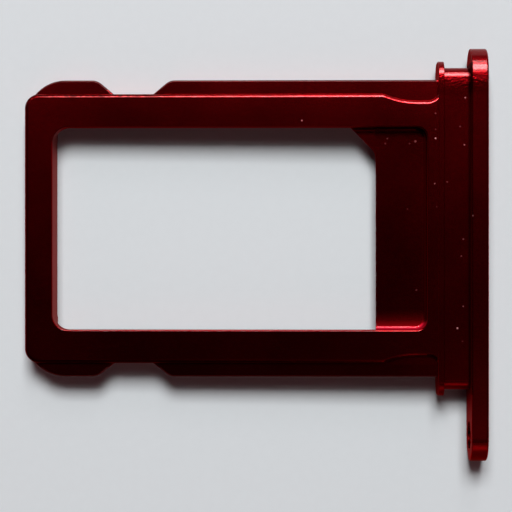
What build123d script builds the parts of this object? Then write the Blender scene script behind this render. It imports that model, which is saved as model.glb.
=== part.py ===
from build123d import *
import os
from math import cos, radians, sin, tan

# Card that the tray carries, and the room left round it
card_length = 12.3
card_width = 8.8
card_thickness = 0.67
card_corner = 1.0
card_cut = 1.65
card_clearance = 0.05
card_headroom = 0.01

# Window: how far it runs on past the card's inner end, and the lips at its sides and outer end
window_run_out = 0.02
side_lip = 0.825
outer_lip = 0.87
outer_lip_thickness = 0.12
window_corner = 0.55
window_web = 0.9
window_web_round = 0.5
window_edge = 0.03

# Raised frame: its walls beside the card and past the card's two ends
side_wall = 0.345
inner_wall = 1.02
outer_wall = 1.33
frame_corner = 0.5
frame_edge = 0.12

# Shoulders, where the frame draws in to a waist and flares out again to the flange
waist_inset = 0.25
waist_length = 0.32
shoulder_length = 1.18
shoulder_round = 0.5
flare_radius = 0.46
flare_angle = 65

# Relief in the frame's top, between the window and the wall in front of the flange
relief_depth = 0.52
relief_wall = 0.39
relief_corner = 0.39
relief_cove = 0.14

# Side rails, lower than the frame, with one detent notch each
rail_reach = 0.505
rail_thickness = 1.12
rail_setback = 0.03
rail_corner = 1.4
rail_head = 1.15
rail_edge = 0.05
notch_floor = 1.39
notch_angle = 40
notch_round = 0.5

# Flange and seal groove behind the faceplate
flange_reach = 0.67
flange_step = 0.05
flange_foot = 0.07
flange_thickness = 0.21
flange_corner = 0.5
flange_edge = 0.025
groove_width = 0.94
groove_depth = 0.22
neck_corner = 0.34

# Faceplate, which runs on past the tray on one side to make room for the pin hole
plate_thickness = 0.61
plate_rim = 0.2
plate_overhang = 0.48
pin_lug = 2.36
plate_edge = 0.07
plate_back_edge = 0.04
pin_hole_diameter = 1.0
pin_hole_countersink = 0.06

# Half-width of a slice in which edges and corners count as lying on one plane
hair = 0.001

# Places along the tray, from the faceplate's outer face at X = 0 inwards
plate_back = -plate_thickness
flange_front = plate_back - groove_width
flange_back = flange_front - flange_thickness
flange_middle = flange_front - flange_thickness / 2
frame_root = flange_front - flange_edge
pocket_outer_end = flange_back - outer_wall
pocket_length = card_length + 2 * card_clearance
pocket_middle = pocket_outer_end - pocket_length / 2
pocket_inner_end = pocket_outer_end - pocket_length
frame_end = pocket_inner_end - inner_wall
window_outer_end = pocket_outer_end - outer_lip
window_inner_end = pocket_inner_end - window_run_out
relief_end = flange_back - relief_wall
relief_start = window_outer_end - window_web - 2 * relief_corner
flare_start = flange_back - flare_radius * sin(radians(flare_angle))
waist_end = flare_start - waist_length
shoulder_start = waist_end - shoulder_length

# Half-widths, from the tray's centreline at Y = 0
pocket_half = card_width / 2 + card_clearance
window_half = pocket_half - side_lip
frame_half = pocket_half + side_wall
waist_half = frame_half - waist_inset
rail_half = frame_half + rail_reach
flange_half = rail_half + flange_reach
neck_half = flange_half - groove_depth

# Detent notches: their flanks run on to a root inside the frame's wall
notch_slope = tan(radians(notch_angle))
notch_root = frame_half - side_wall / 2
notch_root_half = notch_floor / 2 - side_wall / 2 / notch_slope
notch_mouth_half = notch_floor / 2 + rail_reach / notch_slope
rail_end = frame_end + rail_setback
notch_middle = rail_end + rail_corner + rail_head + notch_mouth_half

# Levels, from the faceplate's middle at Z = 0
pocket_depth = card_thickness + card_headroom
frame_thickness = pocket_depth + outer_lip_thickness + relief_depth
flange_height = flange_foot + frame_thickness + flange_step
neck_height = flange_height - 2 * groove_depth
frame_top = flange_height / 2 - flange_step
frame_bottom = frame_top - frame_thickness
relief_floor = frame_top - relief_depth

# Faceplate across the tray, and its pin hole at the centre of the longer end
plate_height = flange_height + 2 * plate_rim
plate_top = flange_half + plate_overhang
plate_foot = -flange_half - pin_lug
plate_length = plate_top - plate_foot
plate_middle = (plate_top + plate_foot) / 2
pin_hole_place = plate_foot + plate_height / 2

os.makedirs("parts", exist_ok=True)

with BuildPart() as sim_tray:
    # Side rails, one slab with a rounded rim
    with BuildSketch(Plane.XY.offset(frame_bottom)) as rail_outline:
        with BuildLine():
            end = Line((rail_end, 0), (rail_end, rail_half - rail_corner))
            corner = TangentArc(end @ 1, (rail_end + rail_corner, rail_half), tangent=end % 1)
            Polyline(
                corner @ 1,
                (notch_middle - notch_mouth_half, rail_half),
                (notch_middle - notch_root_half, notch_root),
                (notch_middle + notch_root_half, notch_root),
                (notch_middle + notch_mouth_half, rail_half),
                (flange_middle, rail_half),
                (flange_middle, 0),
            )
            mirror(about=Plane.XZ)
        make_face()
        mouth_slice = (notch_middle - notch_mouth_half - hair, notch_middle + notch_mouth_half + hair)
        notch_corners = rail_outline.vertices().filter_by_position(Axis.X, *mouth_slice)
        fillet(notch_corners.filter_by(lambda corner: abs(corner.Y) > frame_half), notch_round)
    extrude(amount=rail_thickness)
    rail_rim = sim_tray.faces().sort_by(Axis.Z)[-1].edges()
    fillet(rail_rim.filter_by_position(Axis.X, rail_end, flange_back), rail_edge)

    # Raised frame on the rails, whose outline ends inside the flange
    with BuildSketch(Plane.XY.offset(frame_bottom)) as frame_outline:
        with BuildLine():
            end = Line((frame_end, 0), (frame_end, frame_half - frame_corner))
            corner = TangentArc(end @ 1, (frame_end + frame_corner, frame_half), tangent=end % 1)
            side = Line(corner @ 1, (shoulder_start, frame_half))
            shoulder = TangentArc((waist_end, waist_half), side @ 1, tangent=(-1, 0))
            waist = Line(shoulder @ 0, (flare_start, waist_half))
            flare = JernArc(waist @ 1, tangent=(1, 0), radius=flare_radius, arc_size=flare_angle)
            root_length = (frame_root - flange_back) / cos(radians(flare_angle))
            root = PolarLine(flare @ 1, length=root_length, angle=flare_angle)
            Line(root @ 1, (frame_root, 0))
            mirror(about=Plane.XZ)
        make_face()
        shoulder_slice = (shoulder_start - hair, shoulder_start + hair)
        fillet(frame_outline.vertices().filter_by_position(Axis.X, *shoulder_slice), shoulder_round)
    extrude(amount=frame_thickness)
    frame_rim = sim_tray.faces().sort_by(Axis.Z)[-1].edges()
    fillet(frame_rim.filter_by_position(Axis.X, frame_end, flange_back), frame_edge)

    # Flange, with a rounded rim on both faces, and the neck that is the floor of the seal groove
    with BuildSketch(Plane.YZ.offset(flange_back)):
        RectangleRounded(2 * flange_half, flange_height, flange_corner)
    extrude(amount=flange_thickness)
    flange_slice = (flange_back - hair, flange_front + hair)
    flange_faces = sim_tray.faces().filter_by(Axis.X).filter_by_position(Axis.X, *flange_slice)
    flange_rims = [face.outer_wire().edges() for face in flange_faces]
    fillet(flange_rims, min(flange_edge, flange_step - hair))
    with BuildSketch(Plane.YZ.offset(flange_front)):
        RectangleRounded(2 * neck_half, neck_height, neck_corner)
    extrude(amount=groove_width)

    # Faceplate with rounded ends, and the hole for the eject pin
    with BuildSketch(Plane.YZ.offset(plate_back)):
        with Locations((plate_middle, 0)):
            SlotOverall(plate_length, plate_height)
    extrude(amount=plate_thickness)
    fillet(sim_tray.faces().sort_by(Axis.X)[-1].edges(), plate_edge)
    plate_slice = (plate_back - hair, plate_back + hair)
    plate_seat = sim_tray.faces().filter_by(Axis.X).filter_by_position(Axis.X, *plate_slice)
    fillet(plate_seat[0].outer_wire().edges(), plate_back_edge)
    with Locations(Plane(origin=(0, pin_hole_place, 0), z_dir=(1, 0, 0))):
        CounterSinkHole(
            pin_hole_diameter / 2,
            pin_hole_diameter / 2 + pin_hole_countersink,
            depth=plate_thickness,
            counter_sink_angle=90,
        )

    # Relief in the frame's top, from over the window on towards the flange, with a cove round its floor
    with BuildSketch(Plane.XY.offset(frame_top)):
        with Locations(((relief_start + relief_end) / 2, 0)):
            RectangleRounded(relief_end - relief_start, 2 * window_half, relief_corner)
    extrude(amount=-relief_depth, mode=Mode.SUBTRACT)
    relief_floors = sim_tray.faces().filter_by_position(Axis.Z, relief_floor - hair, relief_floor + hair)
    fillet(relief_floors[0].edges(), relief_cove)

    # Window through the frame, with a web across one corner
    with BuildSketch(Plane.XY.offset(frame_top)) as window_outline:
        with Locations((window_inner_end, 0)):
            Rectangle(window_outer_end - window_inner_end, 2 * window_half, align=(Align.MIN, Align.CENTER))
        fillet(window_outline.vertices().group_by(Axis.X)[0], window_corner)
        chamfer(window_outline.vertices().group_by(Axis.X)[-1].sort_by(Axis.Y)[-1], window_web)
        fillet(window_outline.vertices().group_by(Axis.X)[-1].sort_by(Axis.Y)[-1], window_web_round)
    extrude(amount=-frame_thickness, mode=Mode.SUBTRACT)

    # Pocket for the card in the underside, with the card's cut corner
    with BuildSketch(Plane.XY.offset(frame_bottom)) as card_outline:
        with Locations((pocket_middle, 0)):
            Rectangle(card_length, card_width)
        cut_corner = card_outline.vertices().group_by(Axis.X)[-1].sort_by(Axis.Y)[-1]
        round_corners = card_outline.vertices() - [cut_corner]
        chamfer(cut_corner, card_cut)
        fillet(round_corners, card_corner)
        offset(amount=card_clearance, kind=Kind.INTERSECTION)
    extrude(amount=pocket_depth, mode=Mode.SUBTRACT)

    # Broken edge round the opening in the frame's top
    frame_faces = sim_tray.faces().filter_by_position(Axis.Z, frame_top - hair, frame_top + hair)
    fillet(frame_faces[0].inner_wires()[0].edges(), window_edge)

sim_tray.part.label = "sim_tray"
export_step(sim_tray.part, "parts/sim_tray.step")
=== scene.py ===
"""Dress the card tray: its blasted and dyed finish with painted shade and highlights, the floor that it lies on,
the light and the camera.
"""
import logging
from dataclasses import dataclass, field
from enum import Enum
from functools import cached_property
from math import atan2, cos, radians, sin
from typing import Any, Mapping, Union

import bpy
from mathutils import Matrix, Vector


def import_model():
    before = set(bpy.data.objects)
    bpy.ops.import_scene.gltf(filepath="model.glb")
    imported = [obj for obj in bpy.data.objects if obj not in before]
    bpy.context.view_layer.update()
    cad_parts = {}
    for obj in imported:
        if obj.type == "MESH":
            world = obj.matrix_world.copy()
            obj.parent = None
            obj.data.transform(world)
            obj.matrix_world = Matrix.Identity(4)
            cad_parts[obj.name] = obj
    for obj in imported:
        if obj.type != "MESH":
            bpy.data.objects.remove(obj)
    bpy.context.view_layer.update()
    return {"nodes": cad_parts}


LOG = logging.getLogger("card_tray")
MM = 0.001
PER_MM = 1000.0
Colour = tuple[float, float, float]
Operand = Union["Socket", float]

# Factor that lays a place flat on the plane seen from above
FLAT: Colour = (1.0, 1.0, 0.0)
# Mean of soft noise, from which it swings both ways
CLOUD_MEAN = 0.5
# Digits of a millimetre to which two corners count as equally far in
LEVEL_DIGITS = 3
# Places of the sockets that share their names with others of the same node
RANGE_START, RANGE_END = 1, 2
MIX_SHARE, MIX_FIRST, MIX_SECOND, MIX_RESULT = 0, 6, 7, 2


class Node(Enum):
    """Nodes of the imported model."""

    TRAY = "sim_tray"


class Axis(Enum):
    """Axes of a vector."""

    X = "X"
    Y = "Y"
    Z = "Z"


class Sum(Enum):
    """Sums that a Math node can do."""

    ADD = "ADD"
    SUBTRACT = "SUBTRACT"
    MULTIPLY = "MULTIPLY"
    LESS = "LESS_THAN"
    GREATER = "GREATER_THAN"
    MAXIMUM = "MAXIMUM"
    ABSOLUTE = "ABSOLUTE"


@dataclass(frozen=True)
class Ramp:
    """A smooth step: the value at which it gives 0, and the value at which it gives 1."""

    start: float
    end: float


@dataclass(frozen=True)
class Cloud:
    """Soft noise: its blotches on a millimetre, and how many and how strong its finer layers are."""

    per_mm: float
    detail: float = 2.0
    rough: float = 0.5


@dataclass(frozen=True)
class Socket:
    """One output of a shader node, with which sums are written as plain Python."""

    bench: "Bench"
    plug: bpy.types.NodeSocket

    def __add__(self, other: Operand) -> "Socket":
        """Add a number or another socket."""
        return self.bench.sum(Sum.ADD, self, other)

    def __radd__(self, other: Operand) -> "Socket":
        """Add this socket to a number."""
        return self.bench.sum(Sum.ADD, other, self)

    def __sub__(self, other: Operand) -> "Socket":
        """Take away a number or another socket."""
        return self.bench.sum(Sum.SUBTRACT, self, other)

    def __rsub__(self, other: Operand) -> "Socket":
        """Take this socket away from a number."""
        return self.bench.sum(Sum.SUBTRACT, other, self)

    def __mul__(self, other: Operand) -> "Socket":
        """Multiply by a number or another socket."""
        return self.bench.sum(Sum.MULTIPLY, self, other)

    def __rmul__(self, other: Operand) -> "Socket":
        """Multiply a number by this socket."""
        return self.bench.sum(Sum.MULTIPLY, other, self)

    def __lt__(self, other: Operand) -> "Socket":
        """Give 1 where this socket is the smaller, and 0 elsewhere."""
        return self.bench.sum(Sum.LESS, self, other)

    def __gt__(self, other: Operand) -> "Socket":
        """Give 1 where this socket is the larger, and 0 elsewhere."""
        return self.bench.sum(Sum.GREATER, self, other)

    def __abs__(self) -> "Socket":
        """Drop the sign."""
        return self.bench.sum(Sum.ABSOLUTE, self, 0.0)

    def larger(self, other: Operand) -> "Socket":
        """Give the larger of this socket and a number or another socket."""
        return self.bench.sum(Sum.MAXIMUM, self, other)

    def step(self, ramp: Ramp) -> "Socket":
        """Rise smoothly from 0 to 1 along a ramp, or fall where the ramp starts at its larger value.

        Args:
            ramp: where the step starts and ends.

        Returns:
            The step's output.
        """
        low, high = sorted((ramp.start, ramp.end))
        inputs = {"Value": self, RANGE_START: low, RANGE_END: high}
        rise = self.bench.node("ShaderNodeMapRange", {"interpolation_type": "SMOOTHSTEP"}, inputs)
        return rise if ramp.start < ramp.end else 1.0 - rise


@dataclass
class Bench:
    """A node tree under work, to which nodes are added one at a time."""

    tree: bpy.types.NodeTree

    @classmethod
    def start(cls, owner: Union[bpy.types.Material, bpy.types.World]) -> "Bench":
        """Clear the node tree of a material or a world, and take it to work on.

        Args:
            owner: the material or world.

        Returns:
            The bench with its empty tree.
        """
        owner.use_nodes = True
        owner.node_tree.nodes.clear()
        return cls(owner.node_tree)

    def node(
        self,
        kind: str,
        settings: Mapping[str, Any],
        inputs: Mapping[Union[str, int], Any],
        output: Union[str, int] = 0,
    ) -> Socket:
        """Add a node, set it up and feed it.

        Args:
            kind: Blender's name of the node's type.
            settings: the node's own properties, set before its sockets.
            inputs: values or links of its sockets, by name or place.
            output: name or place of the output that is handed on.

        Returns:
            The chosen output.
        """
        made = self.tree.nodes.new(kind)
        for name, value in settings.items():
            setattr(made, name, value)
        for place, value in inputs.items():
            if isinstance(value, Socket):
                self.tree.links.new(value.plug, made.inputs[place])
            else:
                made.inputs[place].default_value = value
        return Socket(self, made.outputs[output])

    def show(self, kind: str, surface: Socket) -> None:
        """Add the tree's output node of the given type, and feed it with a surface."""
        output = self.tree.nodes.new(kind)
        self.tree.links.new(surface.plug, output.inputs["Surface"])

    def sum(self, kind: Sum, first: Operand, second: Operand) -> Socket:
        """Add a Math node that works on two numbers.

        Args:
            kind: what the node does.
            first: its first number or link.
            second: its second number or link.

        Returns:
            The result.
        """
        return self.node("ShaderNodeMath", {"operation": kind.value}, {0: first, 1: second})

    def blend(self, share: Operand, first: Union[Socket, Colour], second: Union[Socket, Colour]) -> Socket:
        """Mix two colours.

        Args:
            share: how much of the second colour shows, from 0 to 1.
            first: the colour at a share of 0.
            second: the colour at a share of 1.

        Returns:
            The mixed colour.
        """
        first, second = (c if isinstance(c, Socket) else (*c, 1.0) for c in (first, second))
        inputs = {MIX_SHARE: share, MIX_FIRST: first, MIX_SECOND: second}
        return self.node("ShaderNodeMix", {"data_type": "RGBA"}, inputs, MIX_RESULT)

    def scaled(self, vector: Socket, factors: Colour) -> Socket:
        """Multiply a vector by one factor on each axis."""
        return self.node("ShaderNodeVectorMath", {"operation": "MULTIPLY"}, {0: vector, 1: factors})

    def place(self) -> Socket:
        """Give the place on the piece in millimetres, as a vector."""
        return self.scaled(self.node("ShaderNodeTexCoord", {}, {}, "Object"), (PER_MM, PER_MM, PER_MM))

    def axis(self, vector: Socket, axis: Axis) -> Socket:
        """Pick one axis of a vector."""
        return self.node("ShaderNodeSeparateXYZ", {}, {0: vector}, axis.value)

    def cloud(self, place: Socket, cloud: Cloud) -> Socket:
        """Add soft noise between 0 and 1.

        Args:
            place: where the noise is read.
            cloud: how fine and how strong it is.

        Returns:
            The noise.
        """
        inputs = {"Vector": place, "Scale": cloud.per_mm, "Detail": cloud.detail, "Roughness": cloud.rough}
        return self.node("ShaderNodeTexNoise", {}, inputs)


@dataclass(frozen=True)
class TrayLimits:
    """Where the tray's regions begin and end.

    Places are in millimetres from the faceplate's outer face, the centreline and half the faceplate's height.
    A tilt is 1 on a flat surface and 0 on an upright wall. A lean is one part of the surface's normal.
    """

    wall_tilt: Ramp = Ramp(0.3, 0.05)
    broken_tilt: Ramp = Ramp(0.995, 0.97)
    rounded_tilt: Ramp = Ramp(0.9995, 0.99)

    # Along the whole tray
    flange_start: float = -1.8
    middle: float = -8.2
    far: Ramp = Ramp(4.5, 7.5)
    inner: Ramp = Ramp(-4.0, -14.5)

    # Window, and the ledge in the relief beside it
    window_reach: float = 3.69
    window_end: float = -15.7
    window_corner_start: float = -14.9
    window_corner: Ramp = Ramp(2.9, 3.2)
    relief_end: float = -2.0
    relief_side_lean: Ramp = Ramp(-0.03, -0.15)
    ledge_start: float = -4.0
    ledge_bottom: float = 0.0
    ledge_top: float = 0.4
    ledge_foot: Ramp = Ramp(-3.25, -3.5)
    run_out: Ramp = Ramp(-2.85, -3.6)
    shade: Ramp = Ramp(3.12, 3.5)
    cove_lean: Ramp = Ramp(0.1, 0.3)

    # Frame and rails
    sheltered_lean: Ramp = Ramp(-0.15, -0.5)
    upper: Ramp = Ramp(3.9, 4.6)
    frame_edge_from: float = 4.3
    frame_edge_height: float = 0.5
    frame_edge_lean: Ramp = Ramp(0.03, 0.12)
    end_edge_lean: Ramp = Ramp(-0.5, -0.9)
    end_wall_start: float = -14.0
    end_wall_lean: Ramp = Ramp(0.2, 0.9)
    rail_from: float = 4.95
    low_rail_from: float = -4.85

    # Flange, groove and faceplate
    foot_lean: Ramp = Ramp(-0.02, -0.1)
    steep_foot_lean: Ramp = Ramp(-0.55, -0.75)
    ends: Ramp = Ramp(5.15, 5.6)
    sparkle: Ramp = Ramp(4.7, 5.45)
    groove_start: float = -1.56
    groove_stop: float = -0.6
    neck_end: Ramp = Ramp(4.65, 5.4)
    beside_plate_rise: Ramp = Ramp(-0.74, -0.66)
    beside_plate_fall: Ramp = Ramp(-0.54, -0.58)
    beside_plate_reach: float = 5.9


@dataclass
class TraySurface:
    """The tray's surface as its finish meets it: its place, its facing, and a mask that is 1 on each region."""

    bench: Bench
    limits: TrayLimits

    @cached_property
    def place(self) -> Socket:
        """Place on the tray in millimetres."""
        return self.bench.place()

    @cached_property
    def along(self) -> Socket:
        """Place along the tray, less than 0 behind the faceplate's outer face."""
        return self.bench.axis(self.place, Axis.X)

    @cached_property
    def across(self) -> Socket:
        """Place across the tray, more than 0 towards the faceplate's shorter end."""
        return self.bench.axis(self.place, Axis.Y)

    @cached_property
    def beside(self) -> Socket:
        """Distance from the centreline."""
        return abs(self.across)

    @cached_property
    def height(self) -> Socket:
        """Place above half the faceplate's height."""
        return self.bench.axis(self.place, Axis.Z)

    @cached_property
    def facing(self) -> Socket:
        """Direction in which the surface faces."""
        return self.bench.node("ShaderNodeNewGeometry", {}, {}, "Normal")

    @cached_property
    def outward(self) -> Socket:
        """How far the surface faces out of the phone."""
        return self.bench.axis(self.facing, Axis.X)

    @cached_property
    def sideways(self) -> Socket:
        """How far the surface faces the faceplate's shorter end."""
        return self.bench.axis(self.facing, Axis.Y)

    @cached_property
    def upward(self) -> Socket:
        """How far the surface faces up."""
        return self.bench.axis(self.facing, Axis.Z)

    @cached_property
    def tilt(self) -> Socket:
        """1 where the surface lies flat, 0 where it stands upright."""
        return abs(self.upward)

    @cached_property
    def wall(self) -> Socket:
        """Upright walls."""
        return self.tilt.step(self.limits.wall_tilt)

    @cached_property
    def broken(self) -> Socket:
        """Steeper part of every rounded edge."""
        return self.tilt.step(self.limits.broken_tilt) * (1.0 - self.wall)

    @cached_property
    def rounded(self) -> Socket:
        """Whole of every rounded edge."""
        return self.tilt.step(self.limits.rounded_tilt) * (1.0 - self.wall)

    @cached_property
    def on_frame(self) -> Socket:
        """Frame and rails."""
        return self.along < self.limits.flange_start

    @cached_property
    def on_plate(self) -> Socket:
        """Flange, groove and faceplate."""
        return self.along > self.limits.flange_start

    @cached_property
    def far(self) -> Socket:
        """Both ends of the tray, far from its middle."""
        return abs(self.along - self.limits.middle).step(self.limits.far)

    @cached_property
    def inner(self) -> Socket:
        """Frame and rails, rising towards their inner end."""
        return self.along.step(self.limits.inner)

    @cached_property
    def opening(self) -> Socket:
        """Rounded edges of window and relief."""
        limits = self.limits
        reach = (self.beside < limits.window_reach) * (self.along > limits.window_end)
        return self.broken * reach * (self.along < limits.relief_end)

    @cached_property
    def window_edge(self) -> Socket:
        """Rounded edge of the window."""
        return self.opening * (self.along < self.limits.ledge_start)

    @cached_property
    def window_corner(self) -> Socket:
        """Upper corner of the window's edge at its inner end."""
        corner = self.across.step(self.limits.window_corner)
        return self.opening * (self.along < self.limits.window_corner_start) * corner

    @cached_property
    def ledge(self) -> Socket:
        """Floor and sides of the relief."""
        limits = self.limits
        length = (self.along > limits.ledge_start) * (self.along < limits.relief_end)
        depth = (self.height < limits.ledge_top) * (self.height > limits.ledge_bottom)
        return length * (self.beside < limits.window_reach) * depth

    @cached_property
    def ledge_foot(self) -> Socket:
        """Lower end of the relief."""
        return self.ledge * self.across.step(self.limits.ledge_foot)

    @cached_property
    def run_out(self) -> Socket:
        """Relief's floor where it runs out into the lower cove."""
        return self.ledge * self.across.step(self.limits.run_out)

    @cached_property
    def shade(self) -> Socket:
        """Upper end of the relief, in the shade of the frame."""
        return self.ledge * self.across.step(self.limits.shade)

    @cached_property
    def cove(self) -> Socket:
        """Lower cove of the relief."""
        return self.ledge * self.sideways.step(self.limits.cove_lean)

    @cached_property
    def relief_side(self) -> Socket:
        """Cove of the relief in front of the flange."""
        return self.ledge * self.outward.step(self.limits.relief_side_lean)

    @cached_property
    def sheltered(self) -> Socket:
        """Rounded edges of frame and rails that face away from the light."""
        return self.broken * self.on_frame * self.sideways.step(self.limits.sheltered_lean)

    @cached_property
    def upper(self) -> Socket:
        """Upper side of frame and rails."""
        return self.across.step(self.limits.upper) * self.on_frame

    @cached_property
    def frame_edge(self) -> Socket:
        """Frame's upper edge, which faces the light."""
        limits = self.limits
        reach = (self.across > limits.frame_edge_from) * (self.height > limits.frame_edge_height)
        return self.rounded * self.on_frame * reach * self.sideways.step(limits.frame_edge_lean)

    @cached_property
    def end_edge(self) -> Socket:
        """Rounded edge of the inner end."""
        return self.broken * self.on_frame * self.outward.step(self.limits.end_edge_lean)

    @cached_property
    def end_wall(self) -> Socket:
        """Window's wall at its inner end."""
        return self.wall * (self.along < self.limits.end_wall_start) * self.outward.step(self.limits.end_wall_lean)

    @cached_property
    def rail_edge(self) -> Socket:
        """Rounded edges of both rails."""
        return self.rounded * (self.beside > self.limits.rail_from) * self.on_frame

    @cached_property
    def low_rail(self) -> Socket:
        """Rail on the side away from the light."""
        return (self.across < self.limits.low_rail_from) * self.on_frame

    @cached_property
    def foot(self) -> Socket:
        """Rounded lower ends of flange, groove and faceplate."""
        return self.broken * self.on_plate * self.sideways.step(self.limits.foot_lean)

    @cached_property
    def steep_foot(self) -> Socket:
        """Steep part of the same lower ends."""
        return self.on_plate * self.sideways.step(self.limits.steep_foot_lean)

    @cached_property
    def ends(self) -> Socket:
        """Upper ends of flange, groove and faceplate."""
        return self.on_plate * self.across.step(self.limits.ends)

    @cached_property
    def sparkle(self) -> Socket:
        """Same upper ends, reaching further down, where the grain glints."""
        return self.on_plate * self.across.step(self.limits.sparkle)

    @cached_property
    def neck_end(self) -> Socket:
        """Upper end of the groove's floor."""
        groove = (self.along > self.limits.groove_start) * (self.along < self.limits.groove_stop)
        return groove * self.across.step(self.limits.neck_end)

    @cached_property
    def beside_plate(self) -> Socket:
        """Narrow strip where the groove's floor meets the faceplate."""
        limits = self.limits
        strip = self.along.step(limits.beside_plate_rise) * self.along.step(limits.beside_plate_fall)
        return strip * (self.beside < limits.beside_plate_reach)


@dataclass(frozen=True)
class Marks:
    """Uneven marks that change both the colour and the roughness of the surface."""

    patches: Socket
    blotches: Socket
    wear_and_shade: Socket
    dust: Socket


@dataclass(frozen=True)
class Speck:
    """One speck of dust seen from above: its place and radius in millimetres, and how thick it lies."""

    along: float
    across: float
    radius: float
    share: float


@dataclass(frozen=True)
class DyedMetalFinish:
    """Blasted aluminium with a clear, dark red dyed layer and a little dust, with painted shade, painted
    highlights and a painted floor reflection on some regions.
    """

    slot: str = "anodised_aluminium"
    limits: TrayLimits = TrayLimits()

    # Colours: the dye, and the painted shade, highlights and floor reflection laid over it
    dye: Colour = (0.25, 0.0022, 0.0045)
    deep_dye: Colour = (0.22, 0.0018, 0.0038)
    # painted shade, laid on edges and strips that the light reaches less
    painted_shade: Colour = (0.03, 0.0006, 0.0008)
    painted_highlight_edge: Colour = (0.42, 0.008, 0.013)
    painted_highlight_cove: Colour = (0.5, 0.008, 0.03)
    shade: Colour = (0.004, 0.0001, 0.0002)
    painted_floor_reflection: Colour = (0.55, 0.5, 0.48)
    dust: Colour = (0.55, 0.33, 0.34)
    edge_tint: Colour = (0.80, 0.40, 0.38)

    # How much of a colour shows on its region
    rail_edge_share: float = 0.97
    painted_highlight_share: float = 0.6
    steep_foot_share: float = 0.75
    end_edge_share: float = 0.85
    low_rail_share: float = 0.25
    shade_share: float = 0.55
    beside_plate_share: float = 0.55
    beside_plate_gain: float = 0.4
    beside_plate_ramp: Ramp = Ramp(4.6, 5.0)
    floor_reflection_share: float = 0.13

    # Dye in patches, and on the frame's edge wear in pits and painted shade that grows towards the inner end
    patches: Cloud = Cloud(0.45, detail=3.0)
    patch_ramp: Ramp = Ramp(0.35, 0.65)
    pits: Cloud = Cloud(8.0, rough=0.6)
    pit_ramp: Ramp = Ramp(0.4, 0.6)
    inner_edge_shade: float = 0.4
    pit_wear: float = 0.25
    pit_wear_gain: float = 0.35

    # Roughness, and what each region adds to it
    roughness: float = 0.16
    patch_swing: float = 0.02
    blotch_swing: float = 0.04
    wall_roughness: float = 0.4
    edge_roughness: float = 0.3
    ends_roughness: float = 0.14
    foot_roughness: float = 0.16
    run_out_roughness: float = 0.165
    cove_roughness: float = 0.2
    relief_side_roughness: float = 0.035
    ledge_foot_roughness: float = 0.08
    neck_end_roughness: float = 0.02
    upper_roughness: float = 0.01
    frame_edge_roughness: float = 0.1
    wear_and_shade_roughness: float = 0.1
    far_roughness: float = 0.02
    dust_roughness: float = 0.4

    # Blasted grain
    grain: Cloud = Cloud(17.0, rough=0.6)
    blotches: Cloud = Cloud(11.05, rough=0.6)
    grain_depth: float = 0.0012 * MM
    glint_height: float = 12.0
    edge_glint: float = 0.7

    # Metal that shows less at the rails' edges, and the clear coat with what it lacks on a region
    rail_edge_cover: float = 0.75
    coat_weight: float = 0.4
    coat_roughness: float = 0.1
    coat_lean: Ramp = Ramp(0.0, 0.12)
    wear_and_shade_bare: float = 0.85
    cove_bare: float = 0.6
    rail_edge_bare: float = 0.8
    beside_plate_bare: float = 0.7

    # Dust, which lies on what faces up
    dust_cover: float = 0.6
    dust_lean: Ramp = Ramp(0.3, 0.6)
    speck_rim: float = 0.9
    speck_core: float = 0.3
    specks: tuple[Speck, ...] = (
        Speck(-1.08, -3.55, 0.055, 1.0),
        Speck(-1.87, 3.20, 0.05, 1.0),
        Speck(-6.62, 3.84, 0.045, 0.7),
        Speck(-0.80, 4.66, 0.045, 0.7),
        Speck(-0.83, 2.98, 0.045, 0.55),
        Speck(-0.58, 0.45, 0.045, 0.5),
        Speck(-1.90, 1.59, 0.045, 0.5),
        Speck(-0.87, -2.77, 0.045, 0.45),
        Speck(-2.55, 3.13, 0.07, 0.35),
        Speck(-0.87, -0.38, 0.045, 0.4),
        Speck(-0.94, -0.98, 0.045, 0.35),
        Speck(-0.98, 3.63, 0.04, 0.35),
        Speck(-1.87, 4.09, 0.045, 0.3),
        Speck(-2.51, -2.20, 0.05, 0.3),
        Speck(-1.44, 1.66, 0.045, 0.3),
        Speck(-3.55, 3.23, 0.045, 0.3),
        Speck(-3.62, 3.05, 0.05, 0.25),
        Speck(-2.83, 0.70, 0.04, 0.2),
        Speck(-0.90, -4.02, 0.045, 0.2),
        Speck(-2.76, 3.05, 0.05, 0.2),
        Speck(-1.87, 3.52, 0.04, 0.2),
        Speck(-1.83, 0.77, 0.04, 0.2),
    )

    def material(self) -> bpy.types.Material:
        """Make the finish.

        Returns:
            The material, ready for a piece.
        """
        material = bpy.data.materials.new(self.slot)
        bench = Bench.start(material)
        surface = TraySurface(bench, self.limits)
        marks = Marks(
            patches=bench.cloud(surface.place, self.patches),
            blotches=bench.cloud(surface.place, self.blotches),
            wear_and_shade=self._wear_and_shade(surface),
            dust=self._dust(surface),
        )
        look = bench.node(
            "ShaderNodeBsdfPrincipled",
            {},
            {
                "Base Color": self._colour(surface, marks),
                "Metallic": 1.0 - marks.dust - self.rail_edge_cover * surface.rail_edge,
                "Roughness": self._roughness(surface, marks),
                "Normal": self._grain(surface, marks),
                "Specular Tint": (*self.edge_tint, 1.0),
                "Coat Weight": self._coat(surface, marks),
                "Coat Roughness": self.coat_roughness,
            },
        )
        bench.show("ShaderNodeOutputMaterial", look)
        return material

    def _wear_and_shade(self, surface: TraySurface) -> Socket:
        """Darken the frame's edge with painted shade that grows towards the inner end, and pit it as wear.

        Args:
            surface: the tray's surface.

        Returns:
            A mask that is 1 where the edge is worn and painted darkest.
        """
        pits = surface.bench.cloud(surface.place, self.pits).step(self.pit_ramp)
        pitted = pits * (self.pit_wear + self.pit_wear_gain * surface.inner)
        return surface.frame_edge * (self.inner_edge_shade * surface.inner + pitted)

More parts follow.
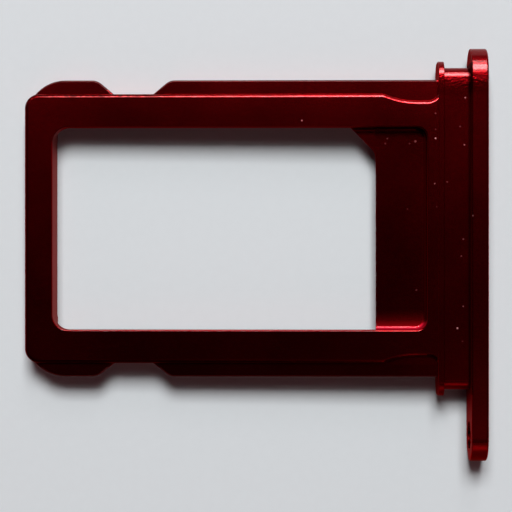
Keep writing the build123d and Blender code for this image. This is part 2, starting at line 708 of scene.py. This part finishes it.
    def _dust(self, surface: TraySurface) -> Socket:
        """Lay the specks of dust on what faces up.

        Args:
            surface: the tray's surface.

        Returns:
            A mask that is 1 on thick dust.
        """
        bench = surface.bench
        above = bench.scaled(surface.place, FLAT)
        dust: Operand = 0.0
        for speck in self.specks:
            spot = (speck.along, speck.across, 0.0)
            distance = bench.node("ShaderNodeVectorMath", {"operation": "DISTANCE"}, {0: above, 1: spot}, "Value")
            rim = Ramp(self.speck_rim * speck.radius, self.speck_core * speck.radius)
            dust = (self.dust_cover * speck.share * distance.step(rim)).larger(dust)
        return dust * surface.upward.step(self.dust_lean)

    def _colour(self, surface: TraySurface, marks: Marks) -> Socket:
        """Lay the dye in patches, and over it painted shade, painted highlights, a painted floor reflection and
        dust, one after the other.

        Args:
            surface: the tray's surface.
            marks: its uneven marks.

        Returns:
            The colour.
        """
        bench = surface.bench
        plate_gain = self.beside_plate_gain * surface.across.step(self.beside_plate_ramp)
        layers = (
            # painted shade on rounded edges that face away from the light and on the rails' edges
            (surface.sheltered.larger(self.rail_edge_share * surface.rail_edge), self.painted_shade),
            # painted highlight on the frame's edge that faces the light, fading towards the inner end
            (self.painted_highlight_share * surface.frame_edge * (1.0 - surface.inner), self.painted_highlight_edge),
            # painted shade on the steep lower ends of flange, groove and faceplate
            (self.steep_foot_share * surface.steep_foot, self.painted_shade),
            # painted shade on the inner end's edge and on the window's upper corner at the inner end
            (self.end_edge_share * surface.end_edge.larger(surface.window_corner), self.painted_shade),
            # wear in pits and painted shade on the frame's edge, and painted shade on the rail away from the light
            (marks.wear_and_shade.larger(self.low_rail_share * surface.low_rail), self.painted_shade),
            (self.shade_share * surface.shade, self.shade),
            # painted shade in the corner where the groove's floor meets the faceplate
            ((self.beside_plate_share + plate_gain) * surface.beside_plate, self.painted_shade),
            # painted highlight on the relief's lower cove
            (surface.cove, self.painted_highlight_cove),
            # painted reflection of the pale floor on the window's wall at its inner end
            (self.floor_reflection_share * surface.end_wall, self.painted_floor_reflection),
            (marks.dust, self.dust),
        )
        colour = bench.blend(marks.patches.step(self.patch_ramp), self.deep_dye, self.dye)
        for share, layer in layers:
            colour = bench.blend(share, colour, layer)
        return colour

    def _roughness(self, surface: TraySurface, marks: Marks) -> Socket:
        """Swing the roughness with the marks, and dull the regions.

        Args:
            surface: the tray's surface.
            marks: its uneven marks.

        Returns:
            The roughness.
        """
        duller = (
            (self.wall_roughness, surface.wall),
            (self.edge_roughness, surface.window_edge.larger(surface.rail_edge)),
            (self.ends_roughness, surface.ends),
            (self.foot_roughness, surface.foot),
            (self.run_out_roughness, surface.run_out),
            (self.cove_roughness, surface.cove),
            (self.relief_side_roughness, surface.relief_side),
            (self.ledge_foot_roughness, surface.ledge_foot),
            (self.neck_end_roughness, surface.neck_end),
            (self.upper_roughness, surface.upper),
            (self.frame_edge_roughness, surface.frame_edge),
            (self.wear_and_shade_roughness, marks.wear_and_shade),
            (self.far_roughness, surface.far),
            (self.dust_roughness, marks.dust),
        )
        roughness = self.roughness + self.patch_swing * (marks.patches - CLOUD_MEAN)
        roughness = roughness + self.blotch_swing * (marks.blotches - CLOUD_MEAN)
        for amount, region in duller:
            roughness = roughness + amount * region
        return roughness

    def _grain(self, surface: TraySurface, marks: Marks) -> Socket:
        """Raise the blasted grain, coarser at the upper ends and on the frame's edge.

        Args:
            surface: the tray's surface.
            marks: its uneven marks.

        Returns:
            The bumped normal.
        """
        grain = surface.bench.cloud(surface.place, self.grain)
        glint = (surface.sparkle + self.edge_glint * surface.frame_edge) * marks.blotches
        height = grain * (1.0 + surface.sparkle) + self.glint_height * glint
        inputs = {"Strength": 1.0, "Distance": self.grain_depth, "Height": height}
        return surface.bench.node("ShaderNodeBump", {}, inputs)

    def _coat(self, surface: TraySurface, marks: Marks) -> Socket:
        """Lay the clear coat on what leans to the light, thinner on the worn and painted-dark frame edge, the
        cove, the rails' edges and beside the plate.

        Args:
            surface: the tray's surface.
            marks: its uneven marks.

        Returns:
            The coat's weight.
        """
        kept = (
            1.0
            - self.wear_and_shade_bare * marks.wear_and_shade
            - self.cove_bare * surface.cove
            - self.rail_edge_bare * surface.rail_edge
            - self.beside_plate_bare * surface.beside_plate
        )
        return self.coat_weight * (1.0 - surface.wall) * kept * surface.sideways.step(self.coat_lean)


@dataclass(frozen=True)
class PaleFloorFinish:
    """Plain pale, matt floor."""

    name: str = "pale_floor"
    colour: Colour = (0.65, 0.697, 0.72)
    shade: Colour = (0.628, 0.673, 0.696)
    roughness: float = 0.9
    mottle: Cloud = Cloud(3.0, detail=3.0)

    def material(self) -> bpy.types.Material:
        """Make the finish.

        Returns:
            The material, ready for the floor.
        """
        material = bpy.data.materials.new(self.name)
        bench = Bench.start(material)
        colour = bench.blend(bench.cloud(bench.place(), self.mottle), self.shade, self.colour)
        inputs = {"Base Color": colour, "Roughness": self.roughness}
        bench.show("ShaderNodeOutputMaterial", bench.node("ShaderNodeBsdfPrincipled", {}, inputs))
        return material


@dataclass
class CardTray:
    """The tray itself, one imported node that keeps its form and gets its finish."""

    piece: bpy.types.Object
    finish: DyedMetalFinish = field(default_factory=DyedMetalFinish)

    def dress(self) -> bpy.types.Object:
        """Give the tray its finish.

        Returns:
            The dressed piece.
        """
        self.piece.data.materials.clear()
        self.piece.data.materials.append(self.finish.material())
        return self.piece

    def rest_line(self) -> tuple[Vector, float]:
        """Find the slope on which the tray comes to rest, on the frame's inner end and the faceplate's foot.

        Returns:
            The point at the inner end that touches, and the slope's angle in radians.
        """
        corners = [vertex.co for vertex in self.piece.data.vertices]
        inner = min(corners, key=lambda corner: (round(corner.x / MM, LEVEL_DIGITS), corner.z))
        slopes = (
            atan2(inner.z - corner.z, corner.x - inner.x) for corner in corners if corner.x - inner.x > MM
        )
        return inner.copy(), max(slopes)


@dataclass(frozen=True)
class Lamp:
    """One soft lamp: how far it leans from straight overhead, and to which side of the tray's shorter end."""

    name: str
    lean: float
    turn: float
    width: float
    depth: float
    power: float
    colour: Colour = (1.0, 1.0, 1.0)
    distance: float = 0.3


@dataclass
class Studio:
    """Floor, light and camera, all squared to the slope on which the tray lies."""

    contact: Vector
    slope: float
    aim: Vector = field(default_factory=lambda: Vector((-8.25, -0.98, 0.67)) * MM)
    camera_distance: float = 60 * MM
    view_width: float = 18.22 * MM
    sensor_width: float = 36.0
    nearest: float = MM
    furthest: float = 10.0
    floor_side: float = 2.0
    lamps: tuple[Lamp, ...] = (
        Lamp("soft_light", lean=radians(32), turn=radians(1), width=0.11, depth=0.107, power=0.92),
        Lamp("dim_edge", lean=radians(18.5), turn=radians(-2), width=0.1, depth=0.035, power=0.038),
        Lamp("low_strip", lean=radians(51), turn=radians(-7), width=0.036, depth=0.11, power=0.095),
        Lamp("overhead_light", lean=radians(13), turn=radians(-140), width=0.04, depth=0.04, power=0.0011),
        Lamp("back_strip", lean=radians(14), turn=radians(180), width=0.1, depth=0.03, power=0.0016),
        Lamp("foot_strip", lean=radians(38), turn=radians(-167), width=0.05, depth=0.23, power=0.0033),
        Lamp(
            "foot_light",
            lean=radians(55),
            turn=radians(-170),
            width=0.035,
            depth=0.08,
            power=0.028,
            colour=(1.0, 0.5, 0.5),
        ),
    )
    glow: Colour = (0.30, 0.08, 0.09)
    foot_glow: Colour = (0.08, 0.025, 0.03)
    foot_ramp: Ramp = Ramp(0.3, -0.3)
    overhead: Colour = (0.002, 0.002, 0.002)
    overhead_ramp: Ramp = Ramp(0.16, 0.8)
    floor_finish: PaleFloorFinish = field(default_factory=PaleFloorFinish)

    @property
    def upward(self) -> Vector:
        """Direction straight up from the floor."""
        return Vector((sin(self.slope), 0.0, cos(self.slope)))

    @property
    def along(self) -> Vector:
        """Direction along the floor from the tray's inner end to its faceplate."""
        return Vector((cos(self.slope), 0.0, -sin(self.slope)))

    @property
    def across(self) -> Vector:
        """Direction along the floor towards the faceplate's shorter end."""
        return self.upward.cross(self.along)

    def lay_floor(self) -> bpy.types.Object:
        """Lay the floor under the tray.

        Returns:
            The floor.
        """
        bpy.ops.object.select_all(action="DESELECT")
        bpy.ops.mesh.primitive_plane_add(size=self.floor_side)
        floor = bpy.context.object
        floor.name = "floor"
        floor.matrix_world = set_down(self.contact, (self.along, self.across, self.upward))
        floor.data.materials.append(self.floor_finish.material())
        return floor

    def hang_lamp(self, lamp: Lamp) -> bpy.types.Object:
        """Hang one soft lamp, turned to the tray.

        Args:
            lamp: its place, size and power.

        Returns:
            The light.
        """
        shade = bpy.data.lights.new(lamp.name, "AREA")
        shade.shape = "RECTANGLE"
        shade.size, shade.size_y = lamp.width, lamp.depth
        shade.energy = lamp.power
        shade.color = lamp.colour
        light = bpy.data.objects.new(lamp.name, shade)
        bpy.context.scene.collection.objects.link(light)
        away = cos(lamp.turn) * self.across + sin(-lamp.turn) * self.along
        lean = cos(lamp.lean) * self.upward + sin(lamp.lean) * away
        side = away.cross(self.upward)
        light.matrix_world = set_down(self.aim + lamp.distance * lean, (side, lean.cross(side), lean))
        return light

    def set_glow(self) -> bpy.types.World:
        """Set a dim glow round the horizon, with the dark above it.

        Returns:
            The world.
        """
        world = bpy.data.worlds.new("studio")
        bpy.context.scene.world = world
        bench = Bench.start(world)
        direction = bench.node("ShaderNodeTexCoord", {}, {}, "Generated")
        horizon = bench.blend(bench.axis(direction, Axis.Y).step(self.foot_ramp), self.glow, self.foot_glow)
        sky = bench.blend(bench.axis(direction, Axis.Z).step(self.overhead_ramp), horizon, self.overhead)
        background = bench.node("ShaderNodeBackground", {}, {"Color": sky, "Strength": 1.0})
        bench.show("ShaderNodeOutputWorld", background)
        return world

    def aim_camera(self) -> bpy.types.Object:
        """Set the camera straight over the tray.

        Returns:
            The camera.
        """
        lens = bpy.data.cameras.new("camera")
        lens.sensor_width = self.sensor_width
        lens.lens = self.sensor_width * self.camera_distance / self.view_width
        lens.clip_start, lens.clip_end = self.nearest, self.furthest
        camera = bpy.data.objects.new("camera", lens)
        bpy.context.scene.collection.objects.link(camera)
        spot = self.aim + self.camera_distance * self.upward
        camera.matrix_world = set_down(spot, (self.along, self.across, self.upward))
        bpy.context.scene.camera = camera
        return camera


def set_down(spot: Vector, axes: tuple[Vector, Vector, Vector]) -> Matrix:
    """Give the transform of a thing that stands on a spot, with its own X, Y and Z along three directions."""
    return Matrix.Translation(spot) @ Matrix(axes).transposed().to_4x4()


def main() -> None:
    """Build the scene in order: tray, floor, light, glow and camera."""
    logging.basicConfig(level=logging.INFO, format="%(name)s: %(message)s")
    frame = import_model()
    scene = bpy.context.scene
    scene.view_settings.view_transform = "Standard"
    tray = CardTray(frame["nodes"][Node.TRAY.value])
    LOG.info("dressed %s", tray.dress().name)
    studio = Studio(*tray.rest_line())
    LOG.info("laid %s at a slope of %.4f", studio.lay_floor().name, studio.slope)
    for lamp in studio.lamps:
        LOG.info("hung %s", studio.hang_lamp(lamp).name)
    LOG.info("set %s", studio.set_glow().name)
    LOG.info("aimed %s", studio.aim_camera().name)


if __name__ == "__main__":
    main()
